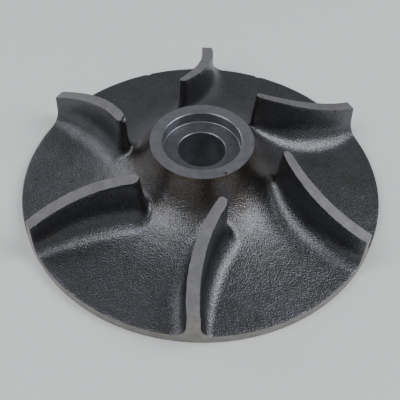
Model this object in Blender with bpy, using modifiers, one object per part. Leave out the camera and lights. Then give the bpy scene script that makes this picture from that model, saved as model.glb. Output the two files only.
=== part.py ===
"""Cast iron impeller of a small centrifugal pump, semi-open, with six curved vanes.

The real thing is one casting that is finished on a lathe, and it is modelled the same way:
a turned blank for the disc and the flared hub, six cast vanes with foot fillets joined to it,
and then the lathe cuts that leave the rim, the vane tops, the hub face, the recess and the bore.

Metres, +Z up. The origin is on the bore's axis at the flat back of the disc, and the vanes
stand on the +Z side. Vane 0 points to -Y, and the others follow clockwise seen from +Z.
"""

from math import cos, pi, radians, sin, sqrt, tan

import bpy
import bmesh
from mathutils import Matrix, Vector

MM = 0.001

# Disc and hub
DISC_RADIUS = 62.0 * MM
RIM_THICKNESS = 3.4 * MM
HUB_FACE_HEIGHT = 24.0 * MM
HUB_FACE_RADIUS = 17.2 * MM
FLARE_STEEPNESS_RADIUS = 9.3 * MM

# Bore and the recess round it
BORE_RADIUS = 7.95 * MM
RECESS_RADIUS = 13.2 * MM
RECESS_DEPTH = 4.1 * MM
EDGE_CHAMFER = 0.25 * MM

# Vanes: two arcs in plan, one for each side, centred off the disc's axis.
# The casting is uneven, so each nose reaches a little more or less towards the hub and
# leans back from it by its own angle, and each foot fillet swells by its own amount.
VANE_COUNT = 6
BACK_ARC_CENTRE = Vector((45.4, -55.5)) * MM
BACK_ARC_RADIUS = 48.9 * MM
FACE_ARC_CENTRE = Vector((52.3, -55.9)) * MM
FACE_ARC_RADIUS = 51.7 * MM
BACK_INNER_RADIUS = 27.8 * MM
FACE_INNER_RADIUS = 30.0 * MM
NOSE_BULGE = 0.85
NOSE_REACH = [length * MM for length in (0.0, 0.3, 0.9, 0.3, 0.8, 0.3)]
NOSE_RAKE = [radians(angle) for angle in (3.0, 8.0, 3.0, 3.0, 6.0, 9.0)]
VANE_HEIGHT_AT_RIM = 14.2 * MM
VANE_TOP_SLOPE = radians(20.0)
VANE_DRAFT = radians(2.0)
FOOT_FILLET_AT_RIM = 4.5 * MM
FOOT_FILLET_NEAR_NOSE = 6.0 * MM
FOOT_FILLET_SWELL = [length * MM for length in (1.0, 2.0, 3.0, 2.0, 3.0, 2.0)]
FOOT_FILLET_AT_TIP = 2.8 * MM

# Stock left on the casting for the lathe to take off
STOCK = 1.0 * MM
HUB_STOCK_TAPER = 0.3 * MM
FILLET_SINK = 0.15 * MM

# How finely round shapes are faceted
TURNED_STEPS = 96
FLARE_STEPS = 13
VANE_SIDE_STEPS = 11
NOSE_STEPS = 12
FILLET_STEPS = 6
SHARP_EDGE_ANGLE = radians(30.0)

CAST_IRON_COLOUR = (0.055, 0.056, 0.062, 1.0)
CAST_IRON_ROUGHNESS = 0.55
CAST_IRON_METALLIC = 0.85


def clear_scene():
    for item in list(bpy.data.objects):
        bpy.data.objects.remove(item, do_unlink=True)


def new_collection(name):
    collection = bpy.data.collections.new(name)
    bpy.context.scene.collection.children.link(collection)
    return collection


def cast_iron():
    """Grey cast iron with its dark foundry skin."""
    material = bpy.data.materials.new("cast_iron")
    material.use_nodes = True
    shader = material.node_tree.nodes["Principled BSDF"]
    shader.inputs["Base Color"].default_value = CAST_IRON_COLOUR
    shader.inputs["Metallic"].default_value = CAST_IRON_METALLIC
    shader.inputs["Roughness"].default_value = CAST_IRON_ROUGHNESS
    return material


def floor_height(radius):
    """Height of the cast surface between the vanes, at a distance from the axis.

    It is a hyperbola: nearly flat at the rim, then steeper and steeper up to the hub face.
    """
    def rise(at):
        return 1.0 / (at - FLARE_STEEPNESS_RADIUS) - 1.0 / (DISC_RADIUS - FLARE_STEEPNESS_RADIUS)

    total = HUB_FACE_HEIGHT - RIM_THICKNESS
    return RIM_THICKNESS + total * rise(min(radius, DISC_RADIUS)) / rise(HUB_FACE_RADIUS)


def vane_top_height(radius):
    """The vane tops are turned to one cone, lowest at the rim."""
    return VANE_HEIGHT_AT_RIM + (DISC_RADIUS - radius) * tan(VANE_TOP_SLOPE)


def turned(name, profile, collection):
    """A solid of revolution from (radius, height) points, given from its top down."""
    mesh = bpy.data.meshes.new(name)
    points = [(radius, 0.0, height) for radius, height in profile]
    edges = [(i, i + 1) for i in range(len(points) - 1)]
    mesh.from_pydata(points, edges, [])
    solid = bpy.data.objects.new(name, mesh)
    collection.objects.link(solid)
    screw = solid.modifiers.new("Turn", "SCREW")
    screw.steps = TURNED_STEPS
    screw.render_steps = TURNED_STEPS
    screw.use_merge_vertices = True
    screw.merge_threshold = 0.00005
    return solid


def blank_profile():
    """The disc and hub as cast, a little too tall, too wide and too thick."""
    outer = DISC_RADIUS + STOCK
    rough_hub_radius = HUB_FACE_RADIUS - HUB_STOCK_TAPER
    profile = [(0.0, floor_height(rough_hub_radius))]
    for step in range(FLARE_STEPS + 1):
        ratio = step / FLARE_STEPS
        radius = rough_hub_radius * (DISC_RADIUS / rough_hub_radius) ** ratio
        profile.append((radius, floor_height(radius)))
    profile += [(outer, RIM_THICKNESS), (outer, -STOCK), (0.0, -STOCK)]
    return profile


def finished_envelope_profile():
    """The outline that the lathe leaves outside the bore: hub face, vane tops, rim and back."""
    inside_vanes = (HUB_FACE_RADIUS + BACK_INNER_RADIUS) / 2.0
    return [
        (0.0, HUB_FACE_HEIGHT),
        (inside_vanes, HUB_FACE_HEIGHT),
        (inside_vanes, vane_top_height(inside_vanes)),
        (DISC_RADIUS, VANE_HEIGHT_AT_RIM),
        (DISC_RADIUS, 0.0),
        (0.0, 0.0),
    ]


def bore_profile():
    """The bore right through, with the recess above it and a chamfer at each mouth."""
    recess_floor = HUB_FACE_HEIGHT - RECESS_DEPTH
    top = HUB_FACE_HEIGHT + STOCK
    return [
        (0.0, top),
        (RECESS_RADIUS + EDGE_CHAMFER + STOCK, top),
        (RECESS_RADIUS, HUB_FACE_HEIGHT - EDGE_CHAMFER),
        (RECESS_RADIUS, recess_floor),
        (BORE_RADIUS + EDGE_CHAMFER, recess_floor),
        (BORE_RADIUS, recess_floor - EDGE_CHAMFER),
        (BORE_RADIUS, EDGE_CHAMFER),
        (BORE_RADIUS + EDGE_CHAMFER + STOCK, -STOCK),
        (0.0, -STOCK),
    ]


def arc_at_radius(centre, arc_radius, radius):
    """Where a vane's side arc is at one distance from the disc's axis."""
    distance = centre.length
    along = (radius ** 2 + distance ** 2 - arc_radius ** 2) / (2.0 * distance)
    across = sqrt(max(radius ** 2 - along ** 2, 0.0))
    forward = centre / distance
    sideways = Vector((forward.y, -forward.x))
    return forward * along + sideways * across


def side_points(centre, arc_radius, inner_radius):
    """One side of a vane, from its inner end to a little past the rim."""
    outer_radius = DISC_RADIUS + 2.0 * STOCK
    points = []
    for step in range(VANE_SIDE_STEPS + 1):
        radius = inner_radius + (outer_radius - inner_radius) * step / VANE_SIDE_STEPS
        points.append(arc_at_radius(centre, arc_radius, radius))
    return points


def vane_outline(nose_reach):
    """Vane 0 in plan, counter-clockwise, with a blunt rounded nose towards the hub.

    Each point comes with its share of the nose: 0 along the sides and 1 at the tip.
    """
    back = side_points(BACK_ARC_CENTRE, BACK_ARC_RADIUS, BACK_INNER_RADIUS - nose_reach)
    face = side_points(FACE_ARC_CENTRE, FACE_ARC_RADIUS, FACE_INNER_RADIUS - nose_reach)
    middle = (back[0] + face[0]) / 2.0
    half = (face[0] - back[0]) / 2.0
    inward = Vector((-half.y, half.x)) * NOSE_BULGE
    nose = []
    for step in range(1, NOSE_STEPS):
        angle = pi * step / NOSE_STEPS
        nose.append((middle + half * cos(angle) + inward * sin(angle), sin(angle)))
    sides = [[(point, 0.0) for point in side] for side in (reversed(face), back)]
    return sides[0] + nose + sides[1]


def outward_normals(points):
    """The direction out of a counter-clockwise outline, at each of its points."""
    normals = []
    count = len(points)
    for i in range(count):
        along = points[(i + 1) % count] - points[i - 1]
        normals.append(Vector((along.y, -along.x)).normalized())
    return normals


def blend(start, end, share):
    return start + (end - start) * share


def foot_fillet(radius, nose_share, swell):
    """Radius of the fillet round a vane's foot: widest halfway along, tight at the nose's tip."""
    inward = (DISC_RADIUS - radius) / (DISC_RADIUS - BACK_INNER_RADIUS)
    beside = blend(FOOT_FILLET_AT_RIM, FOOT_FILLET_NEAR_NOSE, inward) + swell * sin(pi * inward)
    return blend(beside, FOOT_FILLET_AT_TIP, nose_share)


def drafted(point, normal, draft, height):
    """A point of the finished top's outline, moved out by the foundry draft at a height."""
    return point + normal * (vane_top_height(point.length) - height) * tan(draft)


def fillet_point(point, normal, draft, fillet, angle):
    """A point on the foot fillet: on the wall at angle 0, on the floor at a right angle."""
    wall_foot = drafted(point, normal, draft, floor_height(point.length) + fillet)
    spread_out = wall_foot + normal * fillet * (1.0 - cos(angle))
    height = floor_height(spread_out.length) + fillet * (1.0 - sin(angle)) - FILLET_SINK
    return (spread_out.x, spread_out.y, height)


def vane_rings(index):
    """Every ring of a vane's skin, from above its finished top down into the disc."""
    outline = vane_outline(NOSE_REACH[index])
    normals = outward_normals([point for point, _ in outline])
    drafts = [blend(VANE_DRAFT, NOSE_RAKE[index], share) for _, share in outline]
    swell = FOOT_FILLET_SWELL[index]
    fillets = [foot_fillet(point.length, share, swell) for point, share in outline]
    sides = [(point, normal, draft, fillet) for (point, _), normal, draft, fillet
             in zip(outline, normals, drafts, fillets)]
    above_top = vane_top_height(BACK_INNER_RADIUS) + STOCK
    tops = [drafted(point, normal, draft, above_top) for point, normal, draft, _ in sides]
    rings = [[(top.x, top.y, above_top) for top in tops]]
    for step in range(FILLET_STEPS + 1):
        angle = pi / 2.0 * step / FILLET_STEPS
        rings.append([fillet_point(*side, angle) for side in sides])
    rings.append([(x, y, RIM_THICKNESS / 2.0) for x, y, _ in rings[-1]])
    return rings


def vane(index, collection):
    """One rough vane, lofted from its rings, since its foot follows the curved floor."""
    shape = bmesh.new()
    rings = [[shape.verts.new(point) for point in ring] for ring in vane_rings(index)]
    count = len(rings[0])
    for upper, lower in zip(rings, rings[1:]):
        for i in range(count):
            j = (i + 1) % count
            shape.faces.new((upper[i], lower[i], lower[j], upper[j]))
    shape.faces.new(rings[0])
    shape.faces.new(list(reversed(rings[-1])))
    turn = Matrix.Rotation(-2.0 * pi * index / VANE_COUNT, 4, "Z")
    bmesh.ops.transform(shape, matrix=turn, verts=shape.verts)
    name = "vane_{}_rough".format(index)
    mesh = bpy.data.meshes.new(name)
    shape.to_mesh(mesh)
    shape.free()
    solid = bpy.data.objects.new(name, mesh)
    collection.objects.link(solid)
    return solid


def as_guide(solid):
    solid.hide_render = True
    solid.display_type = "WIRE"


def combine(target, other, operation):
    boolean = target.modifiers.new(other.name, "BOOLEAN")
    boolean.operation = operation
    boolean.object = other
    boolean.solver = "EXACT"


def smooth_round_faces(solid):
    """Shades round surfaces smooth and keeps the edges between cuts sharp."""
    tree = bpy.data.node_groups.new("Smooth round faces", "GeometryNodeTree")
    tree.interface.new_socket("Geometry", in_out="INPUT", socket_type="NodeSocketGeometry")
    tree.interface.new_socket("Geometry", in_out="OUTPUT", socket_type="NodeSocketGeometry")
    start = tree.nodes.new("NodeGroupInput")
    faces = tree.nodes.new("GeometryNodeSetShadeSmooth")
    edges = tree.nodes.new("GeometryNodeSetShadeSmooth")
    edges.domain = "EDGE"
    edges.inputs["Shade Smooth"].default_value = False
    angle = tree.nodes.new("GeometryNodeInputMeshEdgeAngle")
    sharp = tree.nodes.new("FunctionNodeCompare")
    sharp.inputs["B"].default_value = SHARP_EDGE_ANGLE
    end = tree.nodes.new("NodeGroupOutput")
    tree.links.new(start.outputs["Geometry"], faces.inputs["Geometry"])
    tree.links.new(faces.outputs["Geometry"], edges.inputs["Geometry"])
    tree.links.new(angle.outputs["Unsigned Angle"], sharp.inputs["A"])
    tree.links.new(sharp.outputs["Result"], edges.inputs["Selection"])
    tree.links.new(edges.outputs["Geometry"], end.inputs["Geometry"])
    solid.modifiers.new("Smooth round faces", "NODES").node_group = tree


def build_impeller():
    parts = new_collection("impeller")
    guides = new_collection("impeller_guides")
    casting = turned("impeller_casting", blank_profile(), parts)
    for index in range(VANE_COUNT):
        rough_vane = vane(index, guides)
        as_guide(rough_vane)
        combine(casting, rough_vane, "UNION")
    envelope = turned("finished_envelope", finished_envelope_profile(), guides)
    bore = turned("bore_and_recess", bore_profile(), guides)
    for guide, operation in ((envelope, "INTERSECT"), (bore, "DIFFERENCE")):
        as_guide(guide)
        combine(casting, guide, operation)
    smooth_round_faces(casting)
    casting.data.materials.append(cast_iron())
    return casting


clear_scene()
build_impeller()
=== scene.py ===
from math import cos, hypot, pi, radians, sin, tan

import bpy
from mathutils import Matrix, Vector


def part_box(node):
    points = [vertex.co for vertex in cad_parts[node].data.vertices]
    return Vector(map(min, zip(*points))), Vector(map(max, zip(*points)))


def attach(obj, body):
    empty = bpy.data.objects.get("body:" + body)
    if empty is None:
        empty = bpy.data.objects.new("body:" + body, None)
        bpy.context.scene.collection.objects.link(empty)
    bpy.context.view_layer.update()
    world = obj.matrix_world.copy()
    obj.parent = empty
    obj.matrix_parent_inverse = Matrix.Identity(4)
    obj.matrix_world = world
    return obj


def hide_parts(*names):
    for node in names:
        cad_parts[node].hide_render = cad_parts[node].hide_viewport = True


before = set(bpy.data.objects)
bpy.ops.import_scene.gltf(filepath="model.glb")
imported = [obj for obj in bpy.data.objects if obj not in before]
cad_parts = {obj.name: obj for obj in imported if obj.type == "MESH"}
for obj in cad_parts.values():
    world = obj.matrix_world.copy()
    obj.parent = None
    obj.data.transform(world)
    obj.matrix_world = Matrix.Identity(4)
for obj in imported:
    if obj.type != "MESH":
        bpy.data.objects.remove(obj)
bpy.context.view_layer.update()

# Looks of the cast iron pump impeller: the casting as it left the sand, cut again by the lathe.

MM = 0.001
NODE = "impeller_casting"
BODY = "root"

# Sizes that the lathe leaves, from the part
DISC_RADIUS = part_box(NODE)[1].x
HUB_FACE_HEIGHT = 24.0 * MM
VANE_HEIGHT_AT_RIM = 14.2 * MM
VANE_TOP_SLOPE = radians(20.0)
BORE_RADIUS = 7.95 * MM
RECESS_RADIUS = 13.2 * MM
RECESS_DEPTH = 4.1 * MM
RECESS_FLOOR_HEIGHT = HUB_FACE_HEIGHT - RECESS_DEPTH
MOUTH_CHAMFER = 0.25 * MM
RECESS_CORNER = 0.5 * MM
RECESS_CORNER_STEPS = 3
INSIDE_VANES = 22.5 * MM

# The casting before turning, the swells of its skin, and the waver of its vane walls near the top
STOCK = 1.0 * MM
MERGE = 0.01 * MM
VOXEL = 0.53 * MM
SKIN_SMOOTHING = 18
SWELL_SIZE = 6.0 * MM
SWELL_DEPTH = 0.16 * MM
WAVER_SIZE = 1.3 * MM
WAVER_DEPTH = 0.42 * MM
WAVER_REACH = 2.5 * MM
TURNED_SIDES = 256
SHARP_EDGE = radians(32.0)

# How near a face lies to a turned surface, and how squarely it faces the same way, to be part of it
TOUCH = 0.03 * MM
FACING = 0.9

# Damage: (radius, angle round the axis in degrees, height, size along each axis) of each lost bit, in mm
CHIPS = {
    "nose_corner": (26.2, 166.5, 27.3, (1.7, 2.6, 2.1)),
    "nose_pit": (28.4, 43.8, 26.5, (0.45, 0.9, 0.5)),
    "hub_face_chip": (16.6, -62.0, 24.0, (0.5, 0.7, 0.35)),
    "vane_nick_inner": (40.1, -31.7, 22.1, (0.8, 0.35, 0.4)),
    "vane_nick_outer": (52.4, -34.0, 17.7, (0.9, 0.35, 0.4)),
    "pock_inner": (44.6, -176.8, 5.1, (0.5, 0.6, 0.45)),
    "pock_outer": (45.8, -175.6, 5.0, (0.7, 0.4, 0.4)),
    "pock_small": (45.4, -178.0, 5.0, (0.35, 0.35, 0.3)),
    "rim_nick_left": (62.0, 110.9, 3.4, (0.6, 1.2, 0.6)),
    "rim_nick_right": (62.0, 69.5, 3.4, (0.6, 1.2, 0.6)),
}

# Brown stain on the skin: full at one distance from the axis in mm and nearly gone at the other
STAIN_FULL = 19.0
STAIN_FADED = 27.0

# Camera, measured from the photo in radii of the disc and in radians
CAMERA_BACK = 2.7878
CAMERA_UP = 3.1373
CAMERA_YAW = -0.0009
CAMERA_PITCH = 0.8602
CAMERA_ROLL = 0.0251
CAMERA_LENS = 65.9
CAMERA_SENSOR = 36.0
CAMERA_CLIP_START = 10.0 * MM

FLOOR_SIZE = 4.0


def srgb(text):
    """A colour from its sRGB hex digits, as linear values."""
    values = [int(text[i:i + 2], 16) / 255.0 for i in (0, 2, 4)]
    linear = [v / 12.92 if v <= 0.04045 else ((v + 0.055) / 1.055) ** 2.4 for v in values]
    return (*linear, 1.0)


def edit(piece):
    """Edit mode on this piece alone, picking faces."""
    bpy.ops.object.select_all(action="DESELECT")
    bpy.context.view_layer.objects.active = piece
    piece.select_set(True)
    bpy.ops.object.mode_set(mode="EDIT")
    bpy.ops.mesh.select_mode(type="FACE")


def done_editing():
    bpy.ops.object.mode_set(mode="OBJECT")


def apply_modifier(piece, kind, **settings):
    """Adds a modifier with its settings and applies it."""
    bpy.ops.object.select_all(action="DESELECT")
    bpy.context.view_layer.objects.active = piece
    piece.select_set(True)
    modifier = piece.modifiers.new(kind, kind)
    for name, value in settings.items():
        setattr(modifier, name, value)
    bpy.ops.object.modifier_apply(modifier=modifier.name)


def lathe(name, stations):
    """A closed turned solid from (radius, height) stations, from one end to the other."""
    radius, height = stations[0]
    bpy.ops.object.select_all(action="DESELECT")
    bpy.ops.mesh.primitive_circle_add(
        vertices=TURNED_SIDES, radius=radius, fill_type="NGON", location=(0.0, 0.0, 0.0))
    piece = bpy.context.object
    piece.name = name
    for vertex in piece.data.vertices:
        vertex.co.z = height
    edit(piece)
    bpy.ops.mesh.select_all(action="SELECT")
    for new_radius, new_height in stations[1:]:
        bpy.ops.mesh.extrude_region_move(
            TRANSFORM_OT_translate={"value": (0.0, 0.0, new_height - height)})
        grow = new_radius / radius
        bpy.ops.transform.resize(value=(grow, grow, 1.0), center_override=(0.0, 0.0, new_height))
        radius, height = new_radius, new_height
    bpy.ops.mesh.select_all(action="SELECT")
    bpy.ops.mesh.normals_make_consistent(inside=False)
    done_editing()
    return piece


def cone_height(radius):
    """Height of the cone that the vane tops are turned to."""
    return VANE_HEIGHT_AT_RIM + (DISC_RADIUS - radius) * tan(VANE_TOP_SLOPE)


def turned_face(centre, normal):
    """Which turned face of the part a face belongs to, by its place and direction."""
    radius = hypot(centre.x, centre.y)
    outward = (normal.x * centre.x + normal.y * centre.y) / max(radius, TOUCH)
    upward = normal.z > FACING
    if centre.z < TOUCH and normal.z < -FACING:
        return "back"
    if radius < RECESS_RADIUS + MOUTH_CHAMFER + TOUCH and centre.z < HUB_FACE_HEIGHT - TOUCH:
        return "recess floor" if upward else "bore"
    if upward and radius < INSIDE_VANES and abs(centre.z - HUB_FACE_HEIGHT) < TOUCH:
        return "hub face"
    if upward and abs(centre.z - cone_height(radius)) < 3.0 * TOUCH:
        return "vane top"
    if radius > DISC_RADIUS - 3.0 * TOUCH and outward > FACING:
        return "rim"
    return None


def rough_casting():
    """A copy of the solid with stock on its turned faces, as it left the sand, though still with its bore.
    """
    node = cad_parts[NODE]
    casting = bpy.data.objects.new("impeller_cast", node.data.copy())
    bpy.context.scene.collection.objects.link(casting)
    edit(casting)
    bpy.ops.mesh.select_all(action="SELECT")
    bpy.ops.mesh.remove_doubles(threshold=MERGE)
    bpy.ops.mesh.select_all(action="DESELECT")
    done_editing()
    with_stock = ("back", "hub face", "vane top", "rim")
    for face in casting.data.polygons:
        face.select = turned_face(face.center, face.normal) in with_stock
    edit(casting)
    bpy.ops.mesh.extrude_region_shrink_fatten(TRANSFORM_OT_shrink_fatten={"value": STOCK})
    done_editing()
    return casting


def fill_bore(casting):
    """The casting has no hole where the lathe later bores it."""
    plug_radius = RECESS_RADIUS + STOCK
    plug = lathe("plug", [(plug_radius, -STOCK / 2.0), (plug_radius, HUB_FACE_HEIGHT + STOCK / 2.0)])
    bpy.ops.object.select_all(action="DESELECT")
    plug.select_set(True)
    casting.select_set(True)
    bpy.context.view_layer.objects.active = casting
    bpy.ops.object.join()


def displace(casting, name, size, depth, group=""):
    """Pushes the skin in and out by soft clouds of one size, over all of it or by a group's weight."""
    clouds = bpy.data.textures.new(name, "CLOUDS")
    clouds.noise_scale = size
    apply_modifier(casting, "DISPLACE", texture=clouds, texture_coords="LOCAL",
                   strength=depth, mid_level=0.5, vertex_group=group)


def weight_vane_edges(casting):
    """Marks the upper part of each vane, full at the turned top and none a little below it."""
    group = casting.vertex_groups.new(name="vane_edges")
    for vertex in casting.data.vertices:
        radius = hypot(vertex.co.x, vertex.co.y)
        if radius > INSIDE_VANES:
            below = cone_height(radius) - vertex.co.z
            weight = 1.0 - below / WAVER_REACH
            if weight > 0.0:
                group.add([vertex.index], min(weight, 1.0), "REPLACE")
    return group.name


def roughen(casting):
    """Soft cast edges, the uneven skin that the sand leaves, and vane walls that waver at the top."""
    apply_modifier(casting, "REMESH", mode="VOXEL", voxel_size=VOXEL)
    apply_modifier(casting, "SMOOTH", factor=0.5, iterations=SKIN_SMOOTHING)
    displace(casting, "swells", SWELL_SIZE, SWELL_DEPTH)
    displace(casting, "waver", WAVER_SIZE, WAVER_DEPTH, weight_vane_edges(casting))


def cut(casting, tool, operation):
    apply_modifier(casting, "BOOLEAN", object=tool, operation=operation, solver="MANIFOLD")
    bpy.data.objects.remove(tool, do_unlink=True)


def turned_outline():
    """What the lathe leaves outside the bore: rim, vane tops and hub face."""
    return lathe("outline", [
        (DISC_RADIUS, 0.0),
        (DISC_RADIUS, VANE_HEIGHT_AT_RIM),
        (INSIDE_VANES, cone_height(INSIDE_VANES)),
        (INSIDE_VANES, HUB_FACE_HEIGHT),
    ])


def bore_tool():
    """The bore, the recess with its rounded corner, and a chamfer at each mouth."""
    run_out = MOUTH_CHAMFER + STOCK
    stations = [
        (BORE_RADIUS + run_out, -STOCK),
        (BORE_RADIUS, MOUTH_CHAMFER),
        (BORE_RADIUS, RECESS_FLOOR_HEIGHT - MOUTH_CHAMFER),
        (BORE_RADIUS + MOUTH_CHAMFER, RECESS_FLOOR_HEIGHT),
    ]
    for step in range(RECESS_CORNER_STEPS + 1):
        angle = pi / 2.0 * step / RECESS_CORNER_STEPS
        stations.append((RECESS_RADIUS - RECESS_CORNER * (1.0 - sin(angle)),
                         RECESS_FLOOR_HEIGHT + RECESS_CORNER * (1.0 - cos(angle))))
    stations.append((RECESS_RADIUS, HUB_FACE_HEIGHT - MOUTH_CHAMFER))
    stations.append((RECESS_RADIUS + run_out, HUB_FACE_HEIGHT + STOCK))
    return lathe("bore", stations)


def chip_tool():
    """Small rounded cutters where bits of the casting are knocked off."""
    cutters = []
    for name, (radius, angle, height, size) in CHIPS.items():
        turn = radians(angle)
        bpy.ops.object.select_all(action="DESELECT")
        bpy.ops.mesh.primitive_ico_sphere_add(subdivisions=3, radius=1.0, location=(0.0, 0.0, 0.0))
        cutter = bpy.context.object
        cutter.name = name
        place = Matrix.Translation((radius * cos(turn), radius * sin(turn), height))
        in_mm = place @ Matrix.Rotation(turn, 4, "Z") @ Matrix.Diagonal((*size, 1.0))
        cutter.data.transform(Matrix.Scale(MM, 4) @ in_mm)
        cutters.append(cutter)
    bpy.ops.object.select_all(action="DESELECT")
    for cutter in cutters:
        cutter.select_set(True)
    bpy.context.view_layer.objects.active = cutters[0]
    bpy.ops.object.join()
    return cutters[0]


def add_node(tree, kind, inputs, **settings):
    """Adds a node with its settings; each input is a plain value or another node's output."""
    node = tree.nodes.new(kind)
    for name, value in settings.items():
        setattr(node, name, value)
    for name, value in inputs.items():
        if isinstance(value, bpy.types.NodeSocket):
            tree.links.new(value, node.inputs[name])
        else:
            node.inputs[name].default_value = value
    return node


def new_material(name):
    material = bpy.data.materials.new(name)
    material.use_nodes = True
    material.node_tree.nodes.clear()
    return material


def scaled(tree, vector, factor):
    inputs = {0: vector, "Scale": factor}
    return add_node(tree, "ShaderNodeVectorMath", inputs, operation="SCALE").outputs[0]


def place_in_mm(tree):
    """The point on the piece in millimetres, so that a pattern's scale is in cells for each mm."""
    place = add_node(tree, "ShaderNodeTexCoord", {}).outputs["Object"]
    return scaled(tree, place, 1.0 / MM)


def axis_distance(tree, in_mm):
    """How far the point lies from the bore's axis, in millimetres."""
    flat = add_node(tree, "ShaderNodeVectorMath", {0: in_mm, 1: (1.0, 1.0, 0.0)}, operation="MULTIPLY")
    return add_node(tree, "ShaderNodeVectorMath", {0: flat.outputs[0]}, operation="LENGTH").outputs["Value"]


def noise(tree, in_mm, scale, detail, roughness=0.5):
    inputs = {"Vector": in_mm, "Scale": scale, "Detail": detail, "Roughness": roughness}
    return add_node(tree, "ShaderNodeTexNoise", inputs).outputs["Fac"]


def spread(tree, value, old, new):
    """Maps the old range (low, high) onto the new one, and holds what lies past it at its ends."""
    inputs = {"Value": value, "From Min": old[0], "From Max": old[1], "To Min": new[0], "To Max": new[1]}
    return add_node(tree, "ShaderNodeMapRange", inputs).outputs[0]


def mixed(tree, factor, first, second):
    """Two colours mixed by a factor; they go in by number, since the node uses each name three times."""
    inputs = {"Factor": factor, 6: first, 7: second}
    return add_node(tree, "ShaderNodeMix", inputs, data_type="RGBA").outputs[2]


def surface(tree, colour, metallic, roughness, height, depth):
    """The shader that every iron surface ends in, with its bumps."""
    bump = add_node(tree, "ShaderNodeBump", {"Distance": depth, "Height": height})
    inputs = {
        "Base Color": colour,
        "Metallic": metallic,
        "Roughness": roughness,
        "Normal": bump.outputs["Normal"],
    }
    shader = add_node(tree, "ShaderNodeBsdfPrincipled", inputs)
    add_node(tree, "ShaderNodeOutputMaterial", {"Surface": shader.outputs["BSDF"]})


def sand_cast_iron():
    """Dark foundry skin: fine grains that glint, cloudy grey patches, and brown stain near the hub."""
    material = new_material("sand_cast_iron")
    tree = material.node_tree
    in_mm = place_in_mm(tree)
    # Grains of about 0.45 mm, a little coarser than real sand leaves, so that they show
    grain = noise(tree, in_mm, scale=2.2, detail=1.0)
    drifts = noise(tree, in_mm, scale=0.12, detail=3.0, roughness=0.6)
    patches = spread(tree, drifts, (0.3, 0.7), (0.0, 1.0))
    grey = mixed(tree, patches, srgb("535352"), srgb("5c5d63"))
    near_hub = spread(tree, axis_distance(tree, in_mm), (STAIN_FULL, STAIN_FADED), (1.0, 0.05))
    clouds = noise(tree, in_mm, scale=0.16, detail=4.0, roughness=0.65)
    blotches = spread(tree, clouds, (0.38, 0.66), (0.2, 0.9))
    stain = add_node(tree, "ShaderNodeMath", {0: near_hub, 1: blotches}, operation="MULTIPLY").outputs[0]
    stained = mixed(tree, stain, grey, srgb("54483c"))
    specks = spread(tree, noise(tree, in_mm, scale=2.8, detail=0.0), (0.3, 0.7), (0.75, 1.4))
    speckled = scaled(tree, stained, specks)
    surface(tree, speckled, metallic=0.9, roughness=0.28, height=grain, depth=0.15 * MM)
    return material


def turned_iron(name, colour, metallic, roughness, mark_depth):
    """Iron cut by the lathe: mottled satin grey with fine rings round the axis."""
    material = new_material(name)
    tree = material.node_tree
    in_mm = place_in_mm(tree)
    inputs = {"W": axis_distance(tree, in_mm), "Scale": 2.5, "Detail": 2.0}
    rings = add_node(tree, "ShaderNodeTexNoise", inputs, noise_dimensions="1D").outputs["Fac"]
    grain = noise(tree, in_mm, scale=2.5, detail=2.0)
    marks = add_node(tree, "ShaderNodeMath", {0: rings, 1: grain}, operation="ADD").outputs[0]
    stains = noise(tree, in_mm, scale=0.3, detail=6.0, roughness=0.7)
    dulled = spread(tree, stains, (0.35, 0.65), (0.8, 1.14))
    mottled = scaled(tree, srgb(colour)[:3], dulled)
    surface(tree, mottled, metallic, roughness, marks, mark_depth)
    return material


def paint(casting):
    """Gives each face the finish of the surface that it belongs to."""
    finishes = [
        # All that the lathe doesn't reach keeps the foundry's skin
        (None, sand_cast_iron()),
        # Flat, dulled grey bands that draw the curve of each vane
        ("vane top", turned_iron("turned_vane_tops", "706f6e", 0.4, 0.50, 0.02 * MM)),
        # The dulled ring round the recess
        ("hub face", turned_iron("turned_hub_face", "6b6b6f", 0.5, 0.45, 0.025 * MM)),
        # Clean metal down in the hub, which darkens with what it reflects
        ("recess floor", turned_iron("turned_recess_floor", "66676b", 0.8, 0.40, 0.02 * MM)),
        ("bore", turned_iron("turned_bore", "7e8086", 0.8, 0.35, 0.015 * MM)),
        # A pale, slightly warm line round the disc
        ("rim", turned_iron("turned_rim", "8a8782", 0.6, 0.40, 0.015 * MM)),
        ("back", turned_iron("turned_back", "8c8c8e", 0.8, 0.45, 0.025 * MM)),
    ]
    casting.data.materials.clear()
    for _, material in finishes:
        casting.data.materials.append(material)
    slots = {face: index for index, (face, _) in enumerate(finishes)}
    for face in casting.data.polygons:
        face.material_index = slots[turned_face(face.center, face.normal)]


def build_impeller():
    casting = rough_casting()
    fill_bore(casting)
    roughen(casting)
    cut(casting, turned_outline(), "INTERSECT")
    cut(casting, bore_tool(), "DIFFERENCE")
    cut(casting, chip_tool(), "DIFFERENCE")
    paint(casting)
    bpy.ops.object.select_all(action="DESELECT")
    bpy.context.view_layer.objects.active = casting
    casting.select_set(True)
    bpy.ops.object.shade_smooth_by_angle(angle=SHARP_EDGE)
    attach(casting, BODY)
    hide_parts(NODE)


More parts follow.
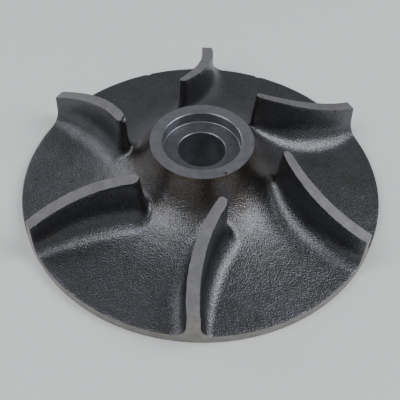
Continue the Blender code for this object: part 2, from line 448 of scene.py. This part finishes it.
def build_floor():
    bpy.ops.object.select_all(action="DESELECT")
    bpy.ops.mesh.primitive_plane_add(size=FLOOR_SIZE)
    floor = bpy.context.object
    floor.name = "floor"
    material = new_material("pale_floor")
    tree = material.node_tree
    shader = add_node(tree, "ShaderNodeBsdfPrincipled", {"Base Color": srgb("dcdcda"), "Roughness": 0.9})
    add_node(tree, "ShaderNodeOutputMaterial", {"Surface": shader.outputs["BSDF"]})
    floor.data.materials.append(material)


def soft_box(name, place, width, depth, power):
    """A large soft light that faces the middle of the part."""
    data = bpy.data.lights.new(name, "AREA")
    data.shape = "RECTANGLE"
    data.size = width
    data.size_y = depth
    data.energy = power
    data.color = srgb("eef1f6")[:3]
    light = bpy.data.objects.new(name, data)
    light.location = place
    light.rotation_euler = (-Vector(place)).to_track_quat("-Z", "Y").to_euler()
    bpy.context.scene.collection.objects.link(light)


def build_lights():
    soft_box("softbox_right", (0.47, -0.04, 0.53), 0.45, 0.50, 3.8)
    soft_box("softbox_left", (-0.37, -0.20, 0.56), 0.45, 0.50, 2.6)
    soft_box("softbox_back", (-0.60, 0.42, 0.26), 0.60, 0.30, 1.5)
    world = bpy.data.worlds.new("studio")
    world.use_nodes = True
    background = world.node_tree.nodes["Background"]
    background.inputs["Color"].default_value = srgb("e6e8ec")
    background.inputs["Strength"].default_value = 0.41
    bpy.context.scene.world = world


def build_camera():
    """The camera that the photo was taken with, from its fit to the rim, hub and vane tops."""
    data = bpy.data.cameras.new("photo_camera")
    data.lens = CAMERA_LENS
    data.sensor_width = CAMERA_SENSOR
    data.clip_start = CAMERA_CLIP_START
    camera = bpy.data.objects.new("photo_camera", data)
    place = Matrix.Translation(Vector((0.0, -CAMERA_BACK, CAMERA_UP)) * DISC_RADIUS)
    turn = (Matrix.Rotation(-CAMERA_YAW, 4, "Z")
            @ Matrix.Rotation(pi / 2.0 - CAMERA_PITCH, 4, "X")
            @ Matrix.Rotation(CAMERA_ROLL, 4, "Z"))
    camera.matrix_world = place @ turn
    bpy.context.scene.collection.objects.link(camera)
    bpy.context.scene.camera = camera


build_impeller()
build_floor()
build_lights()
build_camera()
